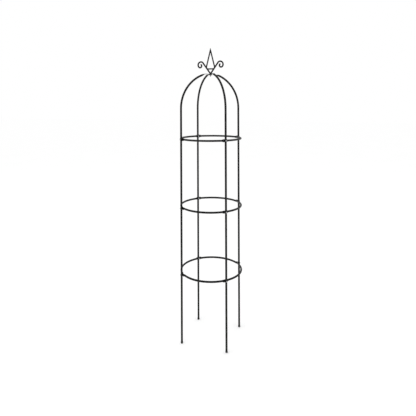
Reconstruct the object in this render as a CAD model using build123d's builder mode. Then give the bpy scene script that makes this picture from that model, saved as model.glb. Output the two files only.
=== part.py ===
from build123d import *
from math import cos, pi, radians, sin, tan
import os

# Garden obelisk: four tube legs joined by three hoops, a dome of four bent rods, a scrolled finial.
# Millimetres, +Z up. The origin is on the ground, on the obelisk's axis; the front faces -Y.

os.makedirs("parts", exist_ok=True)

# ---------------------------------------------------------------- whole object
OVERALL_HEIGHT = 1830.0
LEG_CIRCLE = 203.0  # radius of the circle that the legs' axes stand on
LEG_ANGLES = {"back_right": 45, "back_left": 135, "front_left": 225, "front_right": 315}
HOOP_HEIGHTS = {"lower": 422.0, "middle": 831.0, "upper": 1255.0}  # of the hoops' centre lines

# ---------------------------------------------------------------- leg tube and its plug-in joints
TUBE_RADIUS = 6.35
TUBE_BORE = 5.45
SPIGOT_RADIUS = 5.35
SPIGOT_BORE = 4.45
SPIGOT_LENGTH = 36.0
SHOULDER_CHAMFER = 0.5
SWAGE_START = 1.0  # the bore narrows between these two heights above a joint
SWAGE_END = 4.0
JOINT_ABOVE_HOOP = 17.0  # a joint line is this far above the hoop whose screws pin it

# ---------------------------------------------------------------- foot plugs
FOOT_HEIGHT = 9.0
FOOT_RADIUS = 7.2
FOOT_FACE_RADIUS = 4.4  # flat face that it stands on
FOOT_CURVE = 4.2
FOOT_CURVE_TOP = 3.6
FOOT_EDGE = 0.9
PLUG_STEM_RADIUS = 4.7
PLUG_RIB_RADIUS = 5.4
PLUG_RIB_HEIGHT = 1.2
PLUG_RIBS = (2.0, 7.0, 12.0)  # rib heights above the foot
PLUG_STEM_LENGTH = 16.0

# ---------------------------------------------------------------- dome rods
DOME_SPRING = 1446.0  # height where the rods start to bend
DOME_BEND = 225.0  # bend radius
DOME_TURN = 67.5  # degrees of bend before the rod is pressed flat
DOME_TAB_THICKNESS = 2.0
DOME_TAB_WIDTH = pi * (TUBE_RADIUS - DOME_TAB_THICKNESS / 2) + DOME_TAB_THICKNESS
DOME_TAB_START = 36.0  # the flat part runs from this radius to just past the axis
STACK_BOTTOM = 1659.0  # underside of the lowest of the four flat ends

# ---------------------------------------------------------------- hoops
HOOP_RADIUS = 190.6  # the hoops lie inside the legs
HOOP_TUBE = 6.0
HOOP_BORE = 5.1
PRESSED_THICKNESS = 1.8
PRESSED_HEIGHT = pi * (HOOP_TUBE - PRESSED_THICKNESS / 2) + PRESSED_THICKNESS
PRESSED_REACH = 9.5  # the flat runs this far from the screw; a half hoop's end is round
PRESS_ANGLE = 6.0  # the tube is round again this many degrees from a leg
LEG_CLEARANCE = 0.02
FIRST_JOINED_LEG = 135  # the half hoops overlap at this leg and at the opposite one

# ---------------------------------------------------------------- screws, nuts and washer
SCREW_RADIUS = 2.5
SCREW_HOLE = 2.75
SCREW_HEAD_RADIUS = 4.8
SCREW_HEAD_HEIGHT = 3.1
SCREW_HEAD_RIM = 1.5  # height of the head's cylindrical edge
SCREW_HEAD_CROWN = (3.0, 0.4)  # a point of the crown: radius, and drop below its top
SCREW_TIP_CHAMFER = 0.6
SCREW_TIP = 1.8  # length that stands out of the nut on two layers
RECESS_LENGTH = 5.0
RECESS_WIDTH = 1.0
RECESS_DEPTH = 1.5
NUT_ACROSS_FLATS = 8.0
NUT_HEIGHT = 4.0
THREAD_CLEARANCE = 0.03
STUD_RADIUS = 3.0
STUD_HOLE = 3.3
STUD_LENGTH = 18.0
CROWN_WASHER_RADIUS = 8.0
CROWN_WASHER_HEIGHT = 1.4
CROWN_NUT_ACROSS_FLATS = 10.0
CROWN_NUT_HEIGHT = 5.0

# ---------------------------------------------------------------- finial, heights above its base
FINIAL_BASE = 1668.0
BOSS_RADIUS = 7.5
BOSS_HEIGHT = 3.0
BOSS_CHAMFER = 0.6
SCROLL_ROD = 5.0
STEM_LEAN = 35.4  # degrees from upright
STEM_LENGTH = 87.7
STEM_CROSSING = -2.2  # the two stems' centre lines would cross here
CREST_BEND = 16.7
OUTER_BEND = 19.65
FLANK_BEND = 22.0
FLANK_TURN = 35.0
CURL_BEND = 11.0
CURL_TURN = 190.0
SPEAR_ROD = 4.25
SPEAR_FOOT = (28.6, 38.0)  # a side rod's centre line meets a stem's centre line here
SPEAR_TOP = (1.5, 144.3)
SPEAR_ROD_END = 138.0  # the side rods are cut level here, inside the tip
TIP_BASE_HEIGHT = 133.0
TIP_BASE_HALF_WIDTH = 8.9
TIP_END_RADIUS = 1.8
CROSSBAR_HEIGHT = 29.5

UP = (0, 0, 1)


def outward(angle):
    """The level direction from the obelisk's axis to the leg at this angle."""
    return Vector(cos(radians(angle)), sin(radians(angle)), 0)


def along(angle):
    """The level direction along a hoop at this angle, anticlockwise."""
    return Vector(-sin(radians(angle)), cos(radians(angle)), 0)


def upright_plane(angle, radius=0.0):
    """Upright plane through the axis and a leg: x points outwards and y points up."""
    return Plane(origin=outward(angle) * radius, x_dir=outward(angle), z_dir=-along(angle))


def facing_plane(angle, radius, height):
    """Upright plane that faces outwards at this radius: x runs along the hoop and y points up."""
    origin = outward(angle) * radius + Vector(0, 0, height)
    return Plane(origin=origin, x_dir=along(angle), z_dir=outward(angle))


def leg_axis(angle):
    return Axis(outward(angle) * LEG_CIRCLE, (0, 0, 1))


def save(part, name):
    part.label = name
    export_step(part, f"parts/{name}.step")


def tube_wall(bottom, top, plugged):
    """Half section of a leg tube, with a reduced spigot below its shoulder if it is plugged in."""
    bore_side = [(TUBE_RADIUS, top), (TUBE_BORE, top)]
    if not plugged:
        return [(TUBE_BORE, bottom), (TUBE_RADIUS, bottom)] + bore_side
    return [
        (SPIGOT_BORE, bottom - SPIGOT_LENGTH),
        (SPIGOT_RADIUS, bottom - SPIGOT_LENGTH),
        (SPIGOT_RADIUS, bottom),
        (TUBE_RADIUS - SHOULDER_CHAMFER, bottom),
        (TUBE_RADIUS, bottom + SHOULDER_CHAMFER),
        *bore_side,
        (TUBE_BORE, bottom + SWAGE_END),
        (SPIGOT_BORE, bottom + SWAGE_START),
    ]


# ---------------------------------------------------------------- legs
def leg_section(angle, bottom, top, plugged):
    """One straight length of leg, drilled for the screw of each hoop that crosses it."""
    joints = [top, bottom] if plugged else [top]
    with BuildPart() as section:
        with BuildSketch(upright_plane(angle, LEG_CIRCLE)):
            with BuildLine():
                Polyline(*tube_wall(bottom, top, plugged), close=True)
            make_face()
        revolve(axis=leg_axis(angle))
        for joint in joints:
            with BuildSketch(facing_plane(angle, LEG_CIRCLE, joint - JOINT_ABOVE_HOOP)):
                Circle(SCREW_HOLE)
            extrude(amount=2 * TUBE_RADIUS, both=True, mode=Mode.SUBTRACT)
    return section.part


def foot_plug(angle):
    """Moulded plug: a rounded foot under the tube and a ribbed stem in its bore."""
    with BuildPart() as plug:
        with BuildSketch(upright_plane(angle, LEG_CIRCLE)):
            with BuildLine():
                face = Line((0, 0), (FOOT_FACE_RADIUS, 0))
                curve = RadiusArc(face @ 1, (FOOT_RADIUS, FOOT_CURVE_TOP), FOOT_CURVE)
                Polyline(
                    curve @ 1,
                    (FOOT_RADIUS, FOOT_HEIGHT - FOOT_EDGE),
                    (FOOT_RADIUS - FOOT_EDGE, FOOT_HEIGHT),
                    (PLUG_STEM_RADIUS, FOOT_HEIGHT),
                    (PLUG_STEM_RADIUS, FOOT_HEIGHT + PLUG_STEM_LENGTH),
                    (0, FOOT_HEIGHT + PLUG_STEM_LENGTH),
                    face @ 0,
                )
            make_face()
            for rib in PLUG_RIBS:
                with Locations((0, FOOT_HEIGHT + rib)):
                    Rectangle(PLUG_RIB_RADIUS, PLUG_RIB_HEIGHT, align=(Align.MIN, Align.MIN))
        revolve(axis=leg_axis(angle))
    return plug.part


LEG_JOINTS = {name: height + JOINT_ABOVE_HOOP for name, height in HOOP_HEIGHTS.items()}

for leg, angle in LEG_ANGLES.items():
    lower = leg_section(angle, FOOT_HEIGHT, LEG_JOINTS["lower"], plugged=False)
    middle = leg_section(angle, LEG_JOINTS["lower"], LEG_JOINTS["middle"], plugged=True)
    upper = leg_section(angle, LEG_JOINTS["middle"], LEG_JOINTS["upper"], plugged=True)
    save(lower, f"leg_lower_{leg}")
    save(middle, f"leg_middle_{leg}")
    save(upper, f"leg_upper_{leg}")
    save(foot_plug(angle), f"foot_plug_{leg}")


# ---------------------------------------------------------------- dome
def dome_rod(angle, tab_bottom):
    """Tube that plugs into a leg, bends over to the axis and ends in a flat drilled tab."""
    joint = LEG_JOINTS["upper"]
    tab_middle = Vector(0, 0, tab_bottom + DOME_TAB_THICKNESS / 2)
    with BuildPart() as rod:
        with BuildSketch(upright_plane(angle, LEG_CIRCLE)):
            with BuildLine():
                Polyline(*tube_wall(joint, DOME_SPRING, plugged=True), close=True)
            make_face()
        revolve(axis=leg_axis(angle))
        with BuildSketch(facing_plane(angle, LEG_CIRCLE, joint - JOINT_ABOVE_HOOP)):
            Circle(SCREW_HOLE)
        extrude(amount=2 * TUBE_RADIUS, both=True, mode=Mode.SUBTRACT)

        with BuildLine(upright_plane(angle)) as bend:
            arc = CenterArc((LEG_CIRCLE - DOME_BEND, DOME_SPRING), DOME_BEND, 0, DOME_TURN)
        with BuildSketch(Plane(origin=arc @ 0, x_dir=along(angle), z_dir=arc % 0)):
            Circle(TUBE_RADIUS)
            Circle(TUBE_BORE, mode=Mode.SUBTRACT)
        sweep()

        with BuildSketch(Plane(origin=arc @ 1, x_dir=along(angle), z_dir=arc % 1)):
            Circle(TUBE_RADIUS)
        tab_end = outward(angle) * DOME_TAB_START + tab_middle
        with BuildSketch(Plane(origin=tab_end, x_dir=along(angle), z_dir=-outward(angle))):
            SlotOverall(DOME_TAB_WIDTH, DOME_TAB_THICKNESS)
        loft()

        tab_plane = Plane(origin=(0, 0, tab_bottom), x_dir=outward(angle), z_dir=(0, 0, 1))
        with BuildSketch(tab_plane):
            Rectangle(DOME_TAB_START, DOME_TAB_WIDTH, align=(Align.MIN, Align.CENTER))
            Circle(DOME_TAB_WIDTH / 2)
            Circle(STUD_HOLE, mode=Mode.SUBTRACT)
        extrude(amount=DOME_TAB_THICKNESS)
    return rod.part


for level, (leg, angle) in enumerate(LEG_ANGLES.items()):
    save(dome_rod(angle, STACK_BOTTOM + level * DOME_TAB_THICKNESS), f"dome_rod_{leg}")


# ---------------------------------------------------------------- hoops
OUTER_LAYER = LEG_CIRCLE - TUBE_RADIUS - LEG_CLEARANCE - PRESSED_THICKNESS
INNER_LAYER = OUTER_LAYER - PRESSED_THICKNESS


def half_hoop(first_angle, height):
    """Half a hoop between opposite legs, pressed flat against each leg that it passes."""
    flats = [
        (first_angle, OUTER_LAYER, 0, PRESSED_REACH),
        (first_angle + 90, OUTER_LAYER, -PRESSED_REACH, PRESSED_REACH),
        (first_angle + 180, INNER_LAYER, -PRESSED_REACH, 0),
    ]
    with BuildPart() as half:
        for angle, layer, start, end in flats:
            with BuildSketch(facing_plane(angle, layer, height)):
                with Locations(((start + end) / 2, 0)):
                    Rectangle(end - start, PRESSED_HEIGHT)
                Circle(PRESSED_HEIGHT / 2)
                Circle(SCREW_HOLE, mode=Mode.SUBTRACT)
            extrude(amount=PRESSED_THICKNESS)

        for (angle, layer, _, _), (next_angle, next_layer, _, _) in zip(flats, flats[1:]):
            sweep_start = angle + PRESS_ANGLE
            with BuildLine(Plane.XY.offset(height)):
                arc = CenterArc((0, 0), HOOP_RADIUS, sweep_start, 90 - 2 * PRESS_ANGLE)
            with BuildSketch(Plane(origin=arc @ 0, x_dir=UP, z_dir=arc % 0)):
                Circle(HOOP_TUBE)
                Circle(HOOP_BORE, mode=Mode.SUBTRACT)
            sweep()
            transitions = [
                (arc @ 0, sweep_start, angle, layer, 1),
                (arc @ 1, next_angle - PRESS_ANGLE, next_angle, next_layer, -1),
            ]
            for tube_end, tube_angle, leg_angle, leg_layer, side in transitions:
                flat_end = outward(leg_angle) * (leg_layer + PRESSED_THICKNESS / 2)
                flat_end += along(leg_angle) * side * PRESSED_REACH
                flat_end += Vector(0, 0, height)
                with BuildSketch(Plane(origin=flat_end, x_dir=UP, z_dir=along(leg_angle))):
                    SlotOverall(PRESSED_HEIGHT, PRESSED_THICKNESS)
                with BuildSketch(Plane(origin=tube_end, x_dir=UP, z_dir=along(tube_angle))):
                    Circle(HOOP_TUBE)
                loft()
    return half.part


for hoop, height in HOOP_HEIGHTS.items():
    save(half_hoop(FIRST_JOINED_LEG, height), f"hoop_{hoop}_left_half")
    save(half_hoop(FIRST_JOINED_LEG + 180, height), f"hoop_{hoop}_right_half")


# ---------------------------------------------------------------- hoop screws and nuts
def hoop_screws(height):
    """Four pan-head screws, heads outside the legs, with a cross recess."""
    seat = LEG_CIRCLE + TUBE_RADIUS + LEG_CLEARANCE
    head_top = seat + SCREW_HEAD_HEIGHT
    tip = INNER_LAYER - NUT_HEIGHT - SCREW_TIP
    with BuildPart() as screws:
        for angle in LEG_ANGLES.values():
            screw_plane = upright_plane(angle)
            screw_plane.origin += Vector(0, 0, height)
            with BuildSketch(screw_plane):
                with BuildLine():
                    crown = ThreePointArc(
                        (head_top, 0),
                        (head_top - SCREW_HEAD_CROWN[1], SCREW_HEAD_CROWN[0]),
                        (seat + SCREW_HEAD_RIM, SCREW_HEAD_RADIUS),
                    )
                    Polyline(
                        crown @ 1,
                        (seat, SCREW_HEAD_RADIUS),
                        (seat, SCREW_RADIUS),
                        (tip + SCREW_TIP_CHAMFER, SCREW_RADIUS),
                        (tip, SCREW_RADIUS - SCREW_TIP_CHAMFER),
                        (tip, 0),
                        crown @ 0,
                    )
                make_face()
            revolve(axis=Axis((0, 0, height), outward(angle)))
            with BuildSketch(facing_plane(angle, head_top, height)):
                Rectangle(RECESS_LENGTH, RECESS_WIDTH)
                Rectangle(RECESS_WIDTH, RECESS_LENGTH)
            extrude(amount=-RECESS_DEPTH, mode=Mode.SUBTRACT)
    return screws.part


def hoop_nuts(height):
    """Four hexagon nuts on the hoop's inner face, where it is one or two layers thick."""
    joined_legs = (FIRST_JOINED_LEG, FIRST_JOINED_LEG + 180)
    with BuildPart() as nuts:
        for angle in LEG_ANGLES.values():
            seat = INNER_LAYER if angle in joined_legs else OUTER_LAYER
            with BuildSketch(facing_plane(angle, seat, height)):
                RegularPolygon(NUT_ACROSS_FLATS / 2, 6, major_radius=False)
                Circle(SCREW_RADIUS + THREAD_CLEARANCE, mode=Mode.SUBTRACT)
            extrude(amount=-NUT_HEIGHT)
    return nuts.part


for hoop, height in HOOP_HEIGHTS.items():
    save(hoop_screws(height), f"hoop_screws_{hoop}")
    save(hoop_nuts(height), f"hoop_nuts_{hoop}")

# ---------------------------------------------------------------- finial
BOSS_BOTTOM = STACK_BOTTOM + 4 * DOME_TAB_THICKNESS
BOSS_TOP = BOSS_BOTTOM + BOSS_HEIGHT

with BuildPart() as finial_boss:
    with BuildSketch(Plane.XY.offset(BOSS_BOTTOM)):
        Circle(BOSS_RADIUS)
    extrude(amount=BOSS_HEIGHT)
    chamfer(finial_boss.edges().group_by(Axis.Z)[-1], BOSS_CHAMFER)
    with BuildSketch(Plane.XY.offset(BOSS_BOTTOM)):
        Circle(STUD_RADIUS)
    extrude(amount=-STUD_LENGTH)
    chamfer(finial_boss.edges().group_by(Axis.Z)[0], SCREW_TIP_CHAMFER)
save(finial_boss.part, "finial_boss")

for name, side in {"left": -1, "right": 1}.items():
    lean = (side * sin(radians(STEM_LEAN)), cos(radians(STEM_LEAN)))
    with BuildPart() as finial_scroll:
        with BuildLine(Plane.XZ) as scroll_line:
            foot = (0, FINIAL_BASE + STEM_CROSSING)
            stem = PolarLine(foot, STEM_LENGTH, direction=lean)
            crest = JernArc(stem @ 1, stem % 1, CREST_BEND, side * (STEM_LEAN - 90))
            outer = JernArc(crest @ 1, crest % 1, OUTER_BEND, side * -90)
            flank = JernArc(outer @ 1, outer % 1, FLANK_BEND, side * -FLANK_TURN)
            curl = JernArc(flank @ 1, flank % 1, CURL_BEND, side * -CURL_TURN)
        with BuildSketch(Plane(origin=stem @ 0, z_dir=stem % 0)):
            Circle(SCROLL_ROD)
        sweep()
        with Locations(curl @ 1):
            Sphere(SCROLL_ROD)
        split(bisect_by=Plane.YZ, keep=Keep.TOP if side > 0 else Keep.BOTTOM)
        split(bisect_by=Plane.XY.offset(BOSS_TOP), keep=Keep.TOP)
    save(finial_scroll.part, f"finial_scroll_{name}")


with BuildPart() as stem_room:
    for side in (-1, 1):
        lean = (side * sin(radians(STEM_LEAN)), 0, cos(radians(STEM_LEAN)))
        with BuildSketch(Plane(origin=(0, 0, FINIAL_BASE + STEM_CROSSING), z_dir=lean)):
            Circle(SCROLL_ROD)
        extrude(amount=STEM_LENGTH)

with BuildPart() as finial_spear:
    for side in (-1, 1):
        foot = Vector(side * SPEAR_FOOT[0], 0, FINIAL_BASE + SPEAR_FOOT[1])
        top = Vector(side * SPEAR_TOP[0], 0, FINIAL_BASE + SPEAR_TOP[1])
        with BuildSketch(Plane(origin=foot, z_dir=top - foot)):
            Circle(SPEAR_ROD)
        extrude(amount=(top - foot).length)
    split(bisect_by=Plane.XY.offset(FINIAL_BASE + SPEAR_ROD_END), keep=Keep.BOTTOM)
    with BuildSketch(Plane.XY.offset(FINIAL_BASE + TIP_BASE_HEIGHT)):
        Ellipse(TIP_BASE_HALF_WIDTH, SPEAR_ROD)
    with BuildSketch(Plane.XY.offset(OVERALL_HEIGHT - TIP_END_RADIUS)):
        Circle(TIP_END_RADIUS)
    loft()
    with Locations((0, 0, OVERALL_HEIGHT - TIP_END_RADIUS)):
        Sphere(TIP_END_RADIUS)
    add(stem_room.part, mode=Mode.SUBTRACT)
save(finial_spear.part, "finial_spear")

with BuildPart() as finial_crossbar:
    with BuildSketch(Plane.YZ):
        with Locations((0, FINIAL_BASE + CROSSBAR_HEIGHT)):
            Circle(SPEAR_ROD)
    extrude(amount=(CROSSBAR_HEIGHT - STEM_CROSSING) * tan(radians(STEM_LEAN)), both=True)
    add(stem_room.part, mode=Mode.SUBTRACT)
save(finial_crossbar.part, "finial_crossbar")

with BuildPart() as crown_washer:
    with BuildSketch(Plane.XY.offset(STACK_BOTTOM)):
        Circle(CROWN_WASHER_RADIUS)
        Circle(STUD_HOLE, mode=Mode.SUBTRACT)
    extrude(amount=-CROWN_WASHER_HEIGHT)
save(crown_washer.part, "crown_washer")

with BuildPart() as crown_nut:
    with BuildSketch(Plane.XY.offset(STACK_BOTTOM - CROWN_WASHER_HEIGHT)):
        RegularPolygon(CROWN_NUT_ACROSS_FLATS / 2, 6, major_radius=False)
        Circle(STUD_RADIUS + THREAD_CLEARANCE, mode=Mode.SUBTRACT)
    extrude(amount=-CROWN_NUT_HEIGHT)
save(crown_nut.part, "crown_nut")
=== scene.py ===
from math import atan2, cos, pi, radians, sin, sqrt, tan

import bmesh
import bpy
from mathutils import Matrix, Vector, noise


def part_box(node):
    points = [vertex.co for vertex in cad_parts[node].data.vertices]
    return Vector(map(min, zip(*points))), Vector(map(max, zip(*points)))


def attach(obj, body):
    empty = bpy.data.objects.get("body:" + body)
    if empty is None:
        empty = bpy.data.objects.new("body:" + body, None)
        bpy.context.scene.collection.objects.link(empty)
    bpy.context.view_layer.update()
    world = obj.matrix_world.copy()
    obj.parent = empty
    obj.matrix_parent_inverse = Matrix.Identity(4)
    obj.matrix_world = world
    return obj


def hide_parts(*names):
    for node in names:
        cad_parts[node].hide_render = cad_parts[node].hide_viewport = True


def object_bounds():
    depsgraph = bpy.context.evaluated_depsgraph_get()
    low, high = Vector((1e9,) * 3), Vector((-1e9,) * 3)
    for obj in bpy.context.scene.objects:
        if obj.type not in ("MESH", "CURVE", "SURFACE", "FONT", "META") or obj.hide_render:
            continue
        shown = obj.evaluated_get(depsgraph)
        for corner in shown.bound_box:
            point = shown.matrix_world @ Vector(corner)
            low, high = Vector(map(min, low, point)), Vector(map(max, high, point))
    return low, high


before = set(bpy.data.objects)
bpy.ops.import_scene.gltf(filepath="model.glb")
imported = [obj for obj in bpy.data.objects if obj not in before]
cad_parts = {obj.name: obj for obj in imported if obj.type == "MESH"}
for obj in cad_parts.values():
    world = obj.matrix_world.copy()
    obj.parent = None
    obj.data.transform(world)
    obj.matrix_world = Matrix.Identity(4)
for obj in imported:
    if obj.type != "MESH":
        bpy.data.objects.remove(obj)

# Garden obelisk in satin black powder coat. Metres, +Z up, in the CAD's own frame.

CAD_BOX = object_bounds()
MM = 0.001
UP = Vector((0, 0, 1))

# ---------------------------------------------------------------- sizes
TUBE_RADIUS = 6.35 * MM
SPIGOT_RADIUS = 5.35 * MM
SPIGOT_LENGTH = 36 * MM
SHOULDER_ROUND = 0.6 * MM
RIM_ROUND = 0.25 * MM

DOME_SPRING = 1446 * MM
DOME_BEND = 225 * MM
DOME_TURN = radians(67.5)
DOME_TAB_THICKNESS = 2 * MM
DOME_TAB_START = 36 * MM

HOOP_TUBE = 6 * MM
PRESSED_THICKNESS = 1.8 * MM
PRESSED_REACH = 9.5 * MM
PRESSED_END = 21 * MM  # the tube is round again this far from a leg's axis
PRESSED_STATIONS = 20  # loops on each side of a leg, this far apart
PRESSED_STATION_GAP = 1.15 * MM
LEG_CLEARANCE = 0.02 * MM

FOOT_RADIUS = 7.2 * MM
FOOT_FACE_RADIUS = 4.4 * MM
FOOT_CURVE_TOP = 3.6 * MM
FOOT_EDGE_ROUND = 0.8 * MM
SEAM_DEPTH = 0.25 * MM
SEAM_DROPS = (3.2 * MM, 2.9 * MM, 2.5 * MM, 2.2 * MM)  # the groove's edges, below the foot's top
PLUG_STEM_RADIUS = 4.7 * MM
PLUG_RIB_RADIUS = 5.4 * MM
PLUG_RIB_TAPER = 0.3 * MM
PLUG_RIB_HEIGHT = 1.2 * MM
PLUG_RIBS = (2 * MM, 7 * MM, 12 * MM)  # above the foot's top
PLUG_TIP_BEVEL = 0.6 * MM

SCROLL_ROD = 5 * MM
STEM_LEAN = radians(35.4)
STEM_LENGTH = 87.7 * MM
STEM_CROSSING = -2.2 * MM
STEM_FIRST_STATION = 9 * MM
CREST_BEND = 16.7 * MM
OUTER_BEND = 19.65 * MM
FLANK_BEND = 22 * MM
FLANK_TURN = radians(35)
CURL_BEND = 11 * MM
CURL_TURN = radians(190)

SPEAR_ROD = 4.25 * MM
SPEAR_FOOT = (28.6 * MM, 38 * MM)
SPEAR_TOP = (1.5 * MM, 144.3 * MM)
SPEAR_ROD_END = 139 * MM  # the side rods are cut level here, inside the tip
TIP_BASE = 133 * MM
TIP_BASE_HALF_WIDTH = 8.9 * MM
TIP_END_RADIUS = 1.8 * MM
CROSSBAR_HEIGHT = 29.5 * MM
FINIAL_HEIGHT = 162 * MM

JOINT_BEAD = 1.1 * MM  # weld bead radius where rods meet the stems
FOOT_BEAD = 1.3 * MM  # and where the stems stand on the boss
FOOT_BEAD_START = (7.2 * MM, 3.4 * MM, 0.2 * MM)  # sideways, in depth and above the boss
FOOT_BEAD_END = (0, 5.2 * MM, 0.4 * MM)

CAMERA_TURN = radians(19.15)
CAMERA_ROLL = radians(0.23)
CAMERA_DISTANCE = 2.548
CAMERA_HEIGHT = 1.477
CAMERA_LENS = 34.53
CAMERA_SHIFT = (-0.0063, -0.2514)

ROUND = 32  # points around a tube

# ---------------------------------------------------------------- places, read from the frame
LEG_NAMES = ("back_right", "back_left", "front_left", "front_right")
HOOP_NAMES = ("lower", "middle", "upper")


def middle_of(node):
    low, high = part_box(node)
    return (Vector(low) + Vector(high)) / 2


LEG_PLACES = {leg: middle_of(f"leg_lower_{leg}") for leg in LEG_NAMES}
LEG_ANGLES = {leg: atan2(place.y, place.x) for leg, place in LEG_PLACES.items()}
LEG_CIRCLE = LEG_PLACES["back_right"].xy.length
HOOP_HEIGHTS = {hoop: middle_of(f"hoop_{hoop}_left_half").z for hoop in HOOP_NAMES}
HOOP_RADIUS = CAD_BOX[1][0] - HOOP_TUBE  # the hoops are the widest thing on the object
STACK_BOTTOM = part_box("crown_washer")[1][2]
BOSS_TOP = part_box("finial_boss")[1][2]
OVERALL_HEIGHT = CAD_BOX[1][2]
FINIAL_BASE = OVERALL_HEIGHT - FINIAL_HEIGHT


# ---------------------------------------------------------------- camera, first of all
def photograph_camera():
    """Level camera a little to the right of the front, near the height of the dome's foot."""
    turn, distance = CAMERA_TURN, CAMERA_DISTANCE
    camera = bpy.data.objects.new("camera", bpy.data.cameras.new("camera"))
    bpy.context.collection.objects.link(camera)
    camera.location = (distance * sin(turn), -distance * cos(turn), CAMERA_HEIGHT)
    camera.rotation_euler = (radians(90), CAMERA_ROLL, turn)
    camera.data.sensor_width = 36
    camera.data.lens = CAMERA_LENS
    camera.data.shift_x, camera.data.shift_y = CAMERA_SHIFT
    bpy.context.scene.camera = camera


photograph_camera()


# ---------------------------------------------------------------- materials
def new_material(name):
    """A new material, with its node tree, its shader and the object-space coordinates."""
    material = bpy.data.materials.new(name)
    material.use_nodes = True
    tree = material.node_tree
    shader = tree.nodes["Principled BSDF"]
    place = tree.nodes.new("ShaderNodeTexCoord").outputs["Object"]
    return material, tree, shader, place


def noise_texture(tree, place, scale, detail):
    node = tree.nodes.new("ShaderNodeTexNoise")
    node.inputs["Scale"].default_value = scale
    node.inputs["Detail"].default_value = detail
    tree.links.new(place, node.inputs["Vector"])
    return node.outputs["Fac"]


def ramp(tree, factor, stops):
    """A colour ramp with (position, grey or colour) stops."""
    node = tree.nodes.new("ShaderNodeValToRGB")
    while len(node.color_ramp.elements) < len(stops):
        node.color_ramp.elements.new(0.5)
    for element, (position, colour) in zip(node.color_ramp.elements, stops):
        element.position = position
        element.color = (*colour, 1) if isinstance(colour, tuple) else (colour, colour, colour, 1)
    tree.links.new(factor, node.inputs["Fac"])
    return node.outputs["Color"]


def spread(tree, factor, low, high):
    """Maps the middle of a noise onto a range of numbers."""
    node = tree.nodes.new("ShaderNodeMapRange")
    node.inputs["From Min"].default_value = 0.3
    node.inputs["From Max"].default_value = 0.7
    node.inputs["To Min"].default_value = low
    node.inputs["To Max"].default_value = high
    tree.links.new(factor, node.inputs["Value"])
    return node.outputs["Result"]


def mixed(tree, factor, below, above):
    """Colour mix; below and above are sockets or plain colours.

    The mix node has sockets for each kind of value: 6, 7 and output 2 are the colours.
    """
    node = tree.nodes.new("ShaderNodeMix")
    node.data_type = "RGBA"
    tree.links.new(factor, node.inputs["Factor"])
    for value, socket in ((below, node.inputs[6]), (above, node.inputs[7])):
        if isinstance(value, tuple):
            socket.default_value = (*value, 1)
        else:
            tree.links.new(value, socket)
    return node.outputs[2]


def multiplied(tree, first, second):
    node = tree.nodes.new("ShaderNodeMath")
    node.operation = "MULTIPLY"
    tree.links.new(first, node.inputs[0])
    tree.links.new(second, node.inputs[1])
    return node.outputs["Value"]


def bumped(tree, shader, height, distance, strength):
    node = tree.nodes.new("ShaderNodeBump")
    node.inputs["Distance"].default_value = distance
    node.inputs["Strength"].default_value = strength
    tree.links.new(height, node.inputs["Height"])
    tree.links.new(node.outputs["Normal"], shader.inputs["Normal"])


def powder_coat():
    """Satin black coat: fine orange peel, cloudy shade and gloss, and grey rubs on sharp edges."""
    material, tree, shader, place = new_material("black_powder_coat")
    cloud = noise_texture(tree, place, 22, 5)
    coat = ramp(tree, cloud, ((0.38, 0.0018), (0.62, 0.0085)))
    edge = tree.nodes.new("ShaderNodeNewGeometry").outputs["Pointiness"]
    sharp = ramp(tree, edge, ((0.57, 0.0), (0.62, 1.0)))
    patches = ramp(tree, noise_texture(tree, place, 160, 6), ((0.5, 0.0), (0.57, 1.0)))
    worn = multiplied(tree, sharp, patches)
    tree.links.new(mixed(tree, worn, coat, (0.09, 0.09, 0.095)), shader.inputs["Base Color"])
    gloss = spread(tree, noise_texture(tree, place, 45, 4), 0.3, 0.5)
    tree.links.new(gloss, shader.inputs["Roughness"])
    shader.inputs["Specular IOR Level"].default_value = 0.15
    bumped(tree, shader, noise_texture(tree, place, 480, 2), 0.3 * MM, 0.5)
    return material


def zinc_plate():
    """Bright zinc on screws and nuts: cloudy passivation and fine scratches."""
    material, tree, shader, place = new_material("zinc_plate")
    cloud = noise_texture(tree, place, 420, 4)
    shade = ramp(tree, cloud, ((0.3, (0.24, 0.245, 0.26)), (0.7, (0.36, 0.36, 0.35))))
    tree.links.new(shade, shader.inputs["Base Color"])
    shader.inputs["Metallic"].default_value = 1.0
    tree.links.new(spread(tree, cloud, 0.28, 0.46), shader.inputs["Roughness"])
    bumped(tree, shader, noise_texture(tree, place, 2400, 3), 0.03 * MM, 0.3)
    return material


def foot_plastic():
    """Matt black moulded polythene with a fine grain, dulled in patches by handling."""
    material, tree, shader, place = new_material("foot_plastic")
    cloud = noise_texture(tree, place, 90, 5)
    shade = ramp(tree, cloud, ((0.3, 0.006), (0.7, 0.012)))
    tree.links.new(shade, shader.inputs["Base Color"])
    tree.links.new(spread(tree, cloud, 0.5, 0.66), shader.inputs["Roughness"])
    shader.inputs["Specular IOR Level"].default_value = 0.35
    bumped(tree, shader, noise_texture(tree, place, 1500, 2), 0.08 * MM, 0.4)
    return material


COAT = "black_powder_coat"
ZINC = "zinc_plate"
PLASTIC = "foot_plastic"
MATERIALS = {COAT: powder_coat(), ZINC: zinc_plate(), PLASTIC: foot_plastic()}  # by slot


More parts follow.
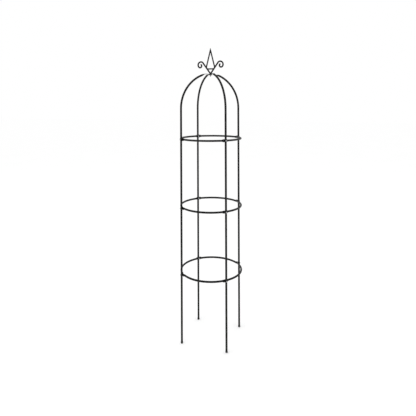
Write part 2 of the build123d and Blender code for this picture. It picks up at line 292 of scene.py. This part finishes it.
# ---------------------------------------------------------------- mesh making
def add_piece(name, shells, finish, node=None):
    """A piece made of closed shells, each a list of equal loops of points.

    A shell is capped at both ends, or joined end to end if its last loop repeats its first.
    """
    vertices, faces = [], []
    for loops in shells:
        count = len(loops[0])
        first = len(vertices)
        closed = (loops[-1][0] - loops[0][0]).length < 0.001 * MM
        if closed:
            loops = loops[:-1]
        vertices += [point for loop in loops for point in loop]
        rows = len(loops)
        for row in range(rows if closed else rows - 1):
            start = first + row * count
            after = first + (row + 1) % rows * count
            for k in range(count):
                side = (k + 1) % count
                faces.append((start + k, start + side, after + side, after + k))
        if not closed:
            faces.append(tuple(range(first, first + count)))
            faces.append(tuple(range(len(vertices) - count, len(vertices))))
    mesh = bpy.data.meshes.new(name)
    mesh.from_pydata(vertices, [], faces)
    form = bmesh.new()
    form.from_mesh(mesh)
    bmesh.ops.recalc_face_normals(form, faces=form.faces)
    form.to_mesh(mesh)
    form.free()
    mesh.polygons.foreach_set("use_smooth", [True] * len(mesh.polygons))
    mesh.set_sharp_from_angle(angle=radians(38))
    mesh.materials.append(MATERIALS[finish])
    piece = bpy.data.objects.new(name, mesh)
    bpy.context.collection.objects.link(piece)
    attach(piece, "root")
    if node:
        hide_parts(node)
    return piece


def outward(angle):
    return Vector((cos(angle), sin(angle), 0))


def along(angle):
    return Vector((-sin(angle), cos(angle), 0))


def smooth(value):
    """Eases from 0 to 1."""
    value = min(max(value, 0.0), 1.0)
    return value * value * (3 - 2 * value)


def section(radius, thickness, width_share=1.0):
    """Outline of a tube pressed to this thickness, with its length around kept: (wide, thick)."""
    half_flat = pi * (radius - thickness / 2) / 2
    outline = []
    for k in range(ROUND):
        turn = 2 * pi * (k + 0.5) / ROUND
        side = 1 if cos(turn) > 0 else -1
        wide = side * half_flat + thickness / 2 * cos(turn)
        outline.append((wide * width_share, thickness / 2 * sin(turn)))
    return outline


def placed(outline, centre, wide_dir, thick_dir):
    return [centre + wide_dir * wide + thick_dir * thick for wide, thick in outline]


def turned(profile, axis_point, axis=UP, first_side=None):
    """Loops of a turned shape: profile is a list of (distance along the axis, radius)."""
    side = (first_side or axis.orthogonal()).normalized()
    other = axis.cross(side)
    loops = []
    for distance, radius in profile:
        centre = axis_point + axis * distance
        loops.append(
            [
                centre + side * radius * cos(turn) + other * radius * sin(turn)
                for turn in (2 * pi * (k + 0.5) / ROUND for k in range(ROUND))
            ]
        )
    return loops


def rounded_corner(distance, radius, round_radius, rising):
    """Profile points of a convex rounded edge at the end of a cylinder."""
    points = []
    for step in range(5):
        turn = radians(90) * step / 4
        inset = round_radius * (1 - sin(turn))
        drop = round_radius * (1 - cos(turn))
        points.append((distance + (drop if rising else -drop), radius - inset))
    return points if rising else points[::-1]


# ---------------------------------------------------------------- legs
def tube_stations(bottom, top, plugged):
    """Profile of a leg tube as (height, radius): spigot, rounded shoulder and rim."""
    profile = []
    if plugged:
        tip = bottom - SPIGOT_LENGTH
        profile += [(tip, SPIGOT_RADIUS - RIM_ROUND), (tip + RIM_ROUND, SPIGOT_RADIUS)]
        profile += [(bottom, SPIGOT_RADIUS)]
    profile += rounded_corner(bottom, TUBE_RADIUS, SHOULDER_ROUND if plugged else RIM_ROUND, True)
    profile += rounded_corner(top, TUBE_RADIUS, RIM_ROUND, False)
    return profile


def build_legs():
    for leg, angle in LEG_ANGLES.items():
        joint = None
        for part in ("lower", "middle", "upper"):
            node = f"leg_{part}_{leg}"
            low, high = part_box(node)
            profile = tube_stations(joint or low[2], high[2], bool(joint))
            loops = turned(profile, outward(angle) * LEG_CIRCLE, UP, outward(angle))
            add_piece(f"{node}_coated", [loops], COAT, node)
            joint = high[2]


# ---------------------------------------------------------------- feet
def build_feet():
    """Moulded plugs: domed foot with a seam groove round it, and a ribbed stem in the tube."""
    for leg, angle in LEG_ANGLES.items():
        node = f"foot_plug_{leg}"
        foot_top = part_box(f"leg_lower_{leg}")[0][2]
        stem_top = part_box(node)[1][2]
        profile = [(0, FOOT_FACE_RADIUS)]
        for step in range(1, 9):
            turn = radians(90) * step / 8
            spread_out = (FOOT_RADIUS - FOOT_FACE_RADIUS) * sin(turn)
            profile.append((FOOT_CURVE_TOP * (1 - cos(turn)), FOOT_FACE_RADIUS + spread_out))
        for drop, depth in zip(SEAM_DROPS, (0, SEAM_DEPTH, SEAM_DEPTH, 0)):
            profile.append((foot_top - drop, FOOT_RADIUS - depth))
        profile += rounded_corner(foot_top, FOOT_RADIUS, FOOT_EDGE_ROUND, False)
        profile += [(foot_top, PLUG_STEM_RADIUS)]
        for rib in PLUG_RIBS:
            base = foot_top + rib
            top = base + PLUG_RIB_HEIGHT
            profile += [(base, PLUG_STEM_RADIUS), (base, PLUG_RIB_RADIUS)]
            profile += [(top, PLUG_RIB_RADIUS - PLUG_RIB_TAPER), (top, PLUG_STEM_RADIUS)]
        profile += [(stem_top - PLUG_TIP_BEVEL, PLUG_STEM_RADIUS)]
        profile += [(stem_top, PLUG_STEM_RADIUS - PLUG_TIP_BEVEL)]
        loops = turned(profile, outward(angle) * LEG_CIRCLE)
        add_piece(f"{node}_moulded", [loops], PLASTIC, node)


# ---------------------------------------------------------------- dome rods
def dome_loops(angle, tab_bottom, joint):
    """Straight tube, long bend, then a stretch where the tube is pressed flat into a round tab."""
    straight = tube_stations(joint, DOME_SPRING, True)
    straight = [station for station in straight if station[0] < DOME_SPRING - RIM_ROUND]
    loops = turned(straight, outward(angle) * LEG_CIRCLE, UP, along(angle))
    bend_centre = outward(angle) * (LEG_CIRCLE - DOME_BEND) + UP * DOME_SPRING
    tube = section(TUBE_RADIUS, 2 * TUBE_RADIUS)
    steps = 48
    for step in range(steps + 1):
        turn = DOME_TURN * step / steps
        spoke = outward(angle) * cos(turn) + UP * sin(turn)
        loops.append(placed(tube, bend_centre + spoke * DOME_BEND, along(angle), -spoke))

    start = bend_centre + (outward(angle) * cos(DOME_TURN) + UP * sin(DOME_TURN)) * DOME_BEND
    end = outward(angle) * DOME_TAB_START + UP * (tab_bottom + DOME_TAB_THICKNESS / 2)
    reach = (end - start).length
    leaving = (UP * cos(DOME_TURN) - outward(angle) * sin(DOME_TURN)) * reach
    arriving = -outward(angle) * reach
    steps = 20
    for step in range(1, steps + 1):
        t = step / steps
        centre = (
            start * (2 * t**3 - 3 * t**2 + 1)
            + leaving * (t**3 - 2 * t**2 + t)
            + end * (3 * t**2 - 2 * t**3)
            + arriving * (t**3 - t**2)
        )
        heading = (
            start * (6 * t**2 - 6 * t)
            + leaving * (3 * t**2 - 4 * t + 1)
            + end * (6 * t - 6 * t**2)
            + arriving * (3 * t**2 - 2 * t)
        ).normalized()
        thickness = 2 * TUBE_RADIUS + (DOME_TAB_THICKNESS - 2 * TUBE_RADIUS) * smooth(t)
        outline = section(TUBE_RADIUS, thickness)
        loops.append(placed(outline, centre, along(angle), heading.cross(along(angle))))

    half_width = section(TUBE_RADIUS, DOME_TAB_THICKNESS)[0][0]
    level = UP * (tab_bottom + DOME_TAB_THICKNESS / 2)
    steps = 14
    for step in range(steps + 1):
        turn = radians(88) * step / steps
        share = cos(turn)
        centre = level - outward(angle) * half_width * sin(turn)
        outline = section(TUBE_RADIUS, DOME_TAB_THICKNESS, share)
        loops.append(placed(outline, centre, along(angle), -UP))
    return loops


def build_dome():
    for level, leg in enumerate(LEG_NAMES):
        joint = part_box(f"leg_upper_{leg}")[1][2]
        tab_bottom = STACK_BOTTOM + level * DOME_TAB_THICKNESS
        loops = dome_loops(LEG_ANGLES[leg], tab_bottom, joint)
        add_piece(f"dome_rod_{leg}_coated", [loops], COAT, f"dome_rod_{leg}")


# ---------------------------------------------------------------- hoops
def hoop_loop(first_angle, distance, height, end_share):
    """Section of a half hoop at this distance from its first leg: round, or pressed at a leg."""
    quarter = HOOP_RADIUS * pi / 2
    passed = round(distance / quarter)
    offset = distance - passed * quarter
    leg_angle = first_angle + passed * pi / 2
    layers = 1 if passed < 2 else 2
    pressed_radius = LEG_CIRCLE - TUBE_RADIUS - LEG_CLEARANCE - (layers - 0.5) * PRESSED_THICKNESS
    round_share = smooth((abs(offset) - PRESSED_REACH) / (PRESSED_END - PRESSED_REACH))
    angle = leg_angle + offset / HOOP_RADIUS * round_share
    flat_place = outward(leg_angle) * pressed_radius + along(leg_angle) * offset
    round_place = outward(leg_angle + offset / HOOP_RADIUS) * HOOP_RADIUS
    centre = flat_place.lerp(round_place, round_share) + UP * height
    thickness = PRESSED_THICKNESS + (2 * HOOP_TUBE - PRESSED_THICKNESS) * round_share
    return placed(section(HOOP_TUBE, thickness, end_share), centre, UP, outward(angle))


def hoop_stations():
    """Distances along a half hoop from its first leg, close together where it is pressed."""
    quarter = HOOP_RADIUS * pi / 2
    near = [i * PRESSED_STATION_GAP for i in range(PRESSED_STATIONS)]
    stations = list(near)
    arc_steps = 26
    for leg in (1, 2):
        start, end = near[-1] + (leg - 1) * quarter, leg * quarter - near[-1]
        stations += [start + (end - start) * i / arc_steps for i in range(1, arc_steps)]
        stations += [leg * quarter - offset for offset in reversed(near)]
        if leg == 1:
            stations += [quarter + offset for offset in near[1:]]
    return stations


def build_hoops():
    half_width = section(HOOP_TUBE, PRESSED_THICKNESS)[0][0]
    end_turns = [radians(88) * i / 12 for i in range(1, 13)]
    stations = [(distance, 1.0) for distance in hoop_stations()]
    last = stations[-1][0]
    start_end = [(-half_width * sin(turn), cos(turn)) for turn in reversed(end_turns)]
    far_end = [(last + half_width * sin(turn), cos(turn)) for turn in end_turns]
    for hoop, height in HOOP_HEIGHTS.items():
        for half, first_leg in (("left", "back_left"), ("right", "front_right")):
            loops = [
                hoop_loop(LEG_ANGLES[first_leg], distance, height, share)
                for distance, share in start_end + stations + far_end
            ]
            node = f"hoop_{hoop}_{half}_half"
            add_piece(f"{node}_coated", [loops], COAT, node)


# ---------------------------------------------------------------- finial
def trace(start, heading, moves):
    """Walks a flat line in the XZ plane: moves are (length, 0) or (bend radius, signed turn)."""
    place, walk = Vector(start), [(Vector(start), heading)]
    for size, turn in moves:
        if turn == 0:
            steps = max(2, int(size / (4 * MM)))
            for _ in range(steps):
                place = place + Vector((sin(heading), cos(heading))) * size / steps
                walk.append((place, heading))
            continue
        steps = max(3, int(abs(turn) / radians(6)))
        for _ in range(steps):
            chord = 2 * size * sin(abs(turn) / steps / 2)
            middle = heading + turn / steps / 2
            place = place + Vector((sin(middle), cos(middle))) * chord
            heading += turn / steps
            walk.append((place, heading))
    return walk


def round_loops(walk, radius):
    """Round sections along a walk in the XZ plane; headings are measured from upright."""
    loops = []
    for place, heading in walk:
        centre = Vector((place.x, 0, place.y))
        side = Vector((cos(heading), 0, -sin(heading)))
        outline = section(radius, 2 * radius)
        loops.append(placed(outline, centre, side, Vector((0, 1, 0))))
    return loops


def rounded_end(place, heading, radius):
    """Loops that close a rod with a half ball."""
    loops = []
    for step in range(1, 8):
        turn = radians(88) * step / 7
        ahead = Vector((sin(heading), cos(heading))) * radius * sin(turn)
        loops += round_loops([(place + ahead, heading)], radius * cos(turn))
    return loops


def build_scrolls():
    for name, side in (("left", -1), ("right", 1)):
        crossing = Vector((0, FINIAL_BASE + STEM_CROSSING))
        lean = side * STEM_LEAN
        direction = Vector((sin(lean), cos(lean)))
        start = crossing + direction * STEM_FIRST_STATION
        walk = trace(
            start,
            lean,
            [
                (STEM_LENGTH - STEM_FIRST_STATION, 0),
                (CREST_BEND, side * (radians(90) - STEM_LEAN)),
                (OUTER_BEND, side * radians(90)),
                (FLANK_BEND, side * FLANK_TURN),
                (CURL_BEND, side * CURL_TURN),
            ],
        )
        loops = round_loops(walk, SCROLL_ROD)
        rise = Vector((direction.x, 0, direction.y))
        foot = []
        for point in loops[0]:
            to_mitre = point.x / rise.x
            to_boss = (point.z - BOSS_TOP) / rise.z
            foot.append(point - rise * min(to_mitre, to_boss))
        end_place, end_heading = walk[-1]
        loops = [foot] + loops + rounded_end(end_place, end_heading, SCROLL_ROD)
        add_piece(f"finial_scroll_{name}_coated", [loops], COAT, f"finial_scroll_{name}")


def build_spear():
    """Two rods that run from the stems up to a solid, drawn-out tip."""
    shells = []
    base = Vector((0, 0, FINIAL_BASE))
    ball_base = OVERALL_HEIGHT - TIP_END_RADIUS
    tip_base = FINIAL_BASE + TIP_BASE
    for side in (-1, 1):
        foot = base + Vector((side * SPEAR_FOOT[0], 0, SPEAR_FOOT[1]))
        top = base + Vector((side * SPEAR_TOP[0], 0, SPEAR_TOP[1]))
        across = (top - foot).normalized().cross(Vector((0, 1, 0)))
        outline = section(SPEAR_ROD, 2 * SPEAR_ROD)
        loops = [placed(outline, foot.lerp(top, i / 12), across, Vector((0, 1, 0))) for i in range(13)]
        for point in loops[-1]:
            point.z = min(point.z, base.z + SPEAR_ROD_END)
        shells.append(loops)
    loops = []
    for step in range(13):
        rise = step / 12
        half_width = TIP_BASE_HALF_WIDTH + (TIP_END_RADIUS - TIP_BASE_HALF_WIDTH) * rise
        half_depth = SPEAR_ROD + (TIP_END_RADIUS - SPEAR_ROD) * rise
        loops.append(tip_loop(tip_base + (ball_base - tip_base) * rise, half_width, half_depth))
    for step in range(1, 7):
        turn = radians(88) * step / 6
        radius = TIP_END_RADIUS * cos(turn)
        loops.append(tip_loop(ball_base + TIP_END_RADIUS * sin(turn), radius, radius))
    shells.append(loops)
    add_piece("finial_spear_coated", shells, COAT, "finial_spear")


def tip_loop(height, half_width, half_depth):
    turns = [2 * pi * (k + 0.5) / ROUND for k in range(ROUND)]
    return [Vector((half_width * cos(turn), half_depth * sin(turn), height)) for turn in turns]


def build_crossbar():
    reach = (CROSSBAR_HEIGHT - STEM_CROSSING) * tan(STEM_LEAN)
    outline = section(SPEAR_ROD, 2 * SPEAR_ROD)
    middle = Vector((0, 0, FINIAL_BASE + CROSSBAR_HEIGHT))
    half_bar = Vector((reach, 0, 0))
    loops = [placed(outline, middle + half_bar * i / 8, UP, Vector((0, 1, 0))) for i in range(-8, 9)]
    add_piece("finial_crossbar_coated", [loops], COAT, "finial_crossbar")


def bead(start, end, radius, seed):
    """A weld bead from start to end: a lumpy worm with round ends."""
    heading = (end - start).normalized()
    side = heading.orthogonal().normalized()
    other = heading.cross(side)
    loops = []
    steps = 18
    for step in range(steps + 1):
        t = step / steps
        belly = sqrt(max(1 - (2 * t - 1) ** 4, 0.0004))
        ripple = 1 + 0.10 * sin(t * 7 * pi)
        loop = []
        for k in range(ROUND // 2):
            turn = 2 * pi * k / (ROUND // 2)
            spoke = side * cos(turn) + other * sin(turn)
            lump = 1 + 0.18 * noise.noise((start + spoke * radius) / MM * 0.5 + UP * (seed + 6 * t))
            loop.append(start.lerp(end, t) + spoke * radius * belly * ripple * lump)
        loops.append(loop)
    return loops


def saddle_bead(joint, heading, stem, seed):
    """A weld bead round a rod that starts at a stem's centre line, where it leaves the stem."""
    depth = Vector((0, 1, 0))
    wide = heading.cross(depth).normalized()
    normal = (heading - stem * heading.dot(stem)).normalized()
    loops = []
    steps = 40
    for step in range(steps + 1):
        turn = 2 * pi * step / steps
        spoke = wide * cos(turn) + depth * sin(turn)
        reach = sqrt(SCROLL_ROD**2 - (SPEAR_ROD * sin(turn)) ** 2)
        reach = (reach - SPEAR_ROD * cos(turn) * wide.dot(normal)) / heading.dot(normal)
        middle = joint + heading * reach + spoke * SPEAR_ROD
        radius = JOINT_BEAD * (1 + 0.12 * sin(step * pi * 0.9))
        radius *= 1 + 0.25 * noise.noise(middle / MM * 0.5 + UP * seed)
        loop = []
        for k in range(ROUND // 2):
            lift = 2 * pi * k / (ROUND // 2)
            loop.append(middle + (spoke * cos(lift) + heading * sin(lift)) * radius)
        loops.append(loop)
    return loops


def build_welds():
    """Beads where the spear's rods and the crossbar meet the stems, and round the stems' foot."""
    shells = []
    base = Vector((0, 0, FINIAL_BASE))
    for side in (-1, 1):
        stem = Vector((side * sin(STEM_LEAN), 0, cos(STEM_LEAN)))
        foot = base + Vector((side * SPEAR_FOOT[0], 0, SPEAR_FOOT[1]))
        top = base + Vector((side * SPEAR_TOP[0], 0, SPEAR_TOP[1]))
        reach = (CROSSBAR_HEIGHT - STEM_CROSSING) * tan(STEM_LEAN)
        bar_end = base + Vector((side * reach, 0, CROSSBAR_HEIGHT))
        shells.append(saddle_bead(foot, (top - foot).normalized(), stem, 3 * side))
        shells.append(saddle_bead(bar_end, Vector((-side, 0, 0)), stem, 8 * side))
        for depth in (-1, 1):
            outer_end, inner_end = (
                Vector((side * across, depth * deep, BOSS_TOP + rise))
                for across, deep, rise in (FOOT_BEAD_START, FOOT_BEAD_END)
            )
            shells.append(bead(outer_end, inner_end, FOOT_BEAD, 5 * side + depth))
    add_piece("finial_welds", shells, COAT)


# ---------------------------------------------------------------- CAD nodes that stay as they are
def finish_cad_nodes():
    finishes = {"finial_boss": COAT, "crown_washer": ZINC, "crown_nut": ZINC}
    for hoop in HOOP_NAMES:
        finishes[f"hoop_screws_{hoop}"] = ZINC
        finishes[f"hoop_nuts_{hoop}"] = ZINC
    for node, finish in finishes.items():
        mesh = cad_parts[node].data
        mesh.materials.clear()
        mesh.materials.append(MATERIALS[finish])


# ---------------------------------------------------------------- stage and light
def build_stage():
    """Wide pale floor and an even, bright surround."""
    size = 30
    mesh = bpy.data.meshes.new("floor")
    corners = [(-size, -size, 0), (size, -size, 0), (size, size, 0), (-size, size, 0)]
    mesh.from_pydata(corners, [], [(0, 1, 2, 3)])
    floor = bpy.data.objects.new("floor", mesh)
    bpy.context.collection.objects.link(floor)
    material, tree, shader, place = new_material("pale_floor")
    shade = ramp(tree, noise_texture(tree, place, 1.5, 3), ((0.3, 0.89), (0.7, 0.9)))
    tree.links.new(shade, shader.inputs["Base Color"])
    shader.inputs["Roughness"].default_value = 1.0
    shader.inputs["Specular IOR Level"].default_value = 0.0
    shader.inputs["Emission Color"].default_value = (1, 1, 1, 1)
    shader.inputs["Emission Strength"].default_value = 0.1
    mesh.materials.append(material)

    world = bpy.data.worlds.new("surround")
    bpy.context.scene.world = world
    world.use_nodes = True
    world.node_tree.nodes["Background"].inputs["Color"].default_value = (1, 1, 1, 1)
    world.node_tree.nodes["Background"].inputs["Strength"].default_value = 1.0
    bpy.context.scene.view_settings.view_transform = "Standard"


def area_light(name, place, target, size, power):
    light = bpy.data.objects.new(name, bpy.data.lights.new(name, "AREA"))
    bpy.context.collection.objects.link(light)
    light.data.shape = "DISK"
    light.data.size = size
    light.data.energy = power
    light.location = place
    light.rotation_euler = (Vector(target) - Vector(place)).to_track_quat("-Z", "Y").to_euler()


build_legs()
build_feet()
build_dome()
build_hoops()
build_scrolls()
build_spear()
build_crossbar()
build_welds()
finish_cad_nodes()
build_stage()
area_light("key", (-2.6, -3.0, 3.4), (0, 0, 0.9), 2.4, 30)
area_light("fill", (3.2, -2.0, 2.2), (0, 0, 0.9), 2.0, 12)
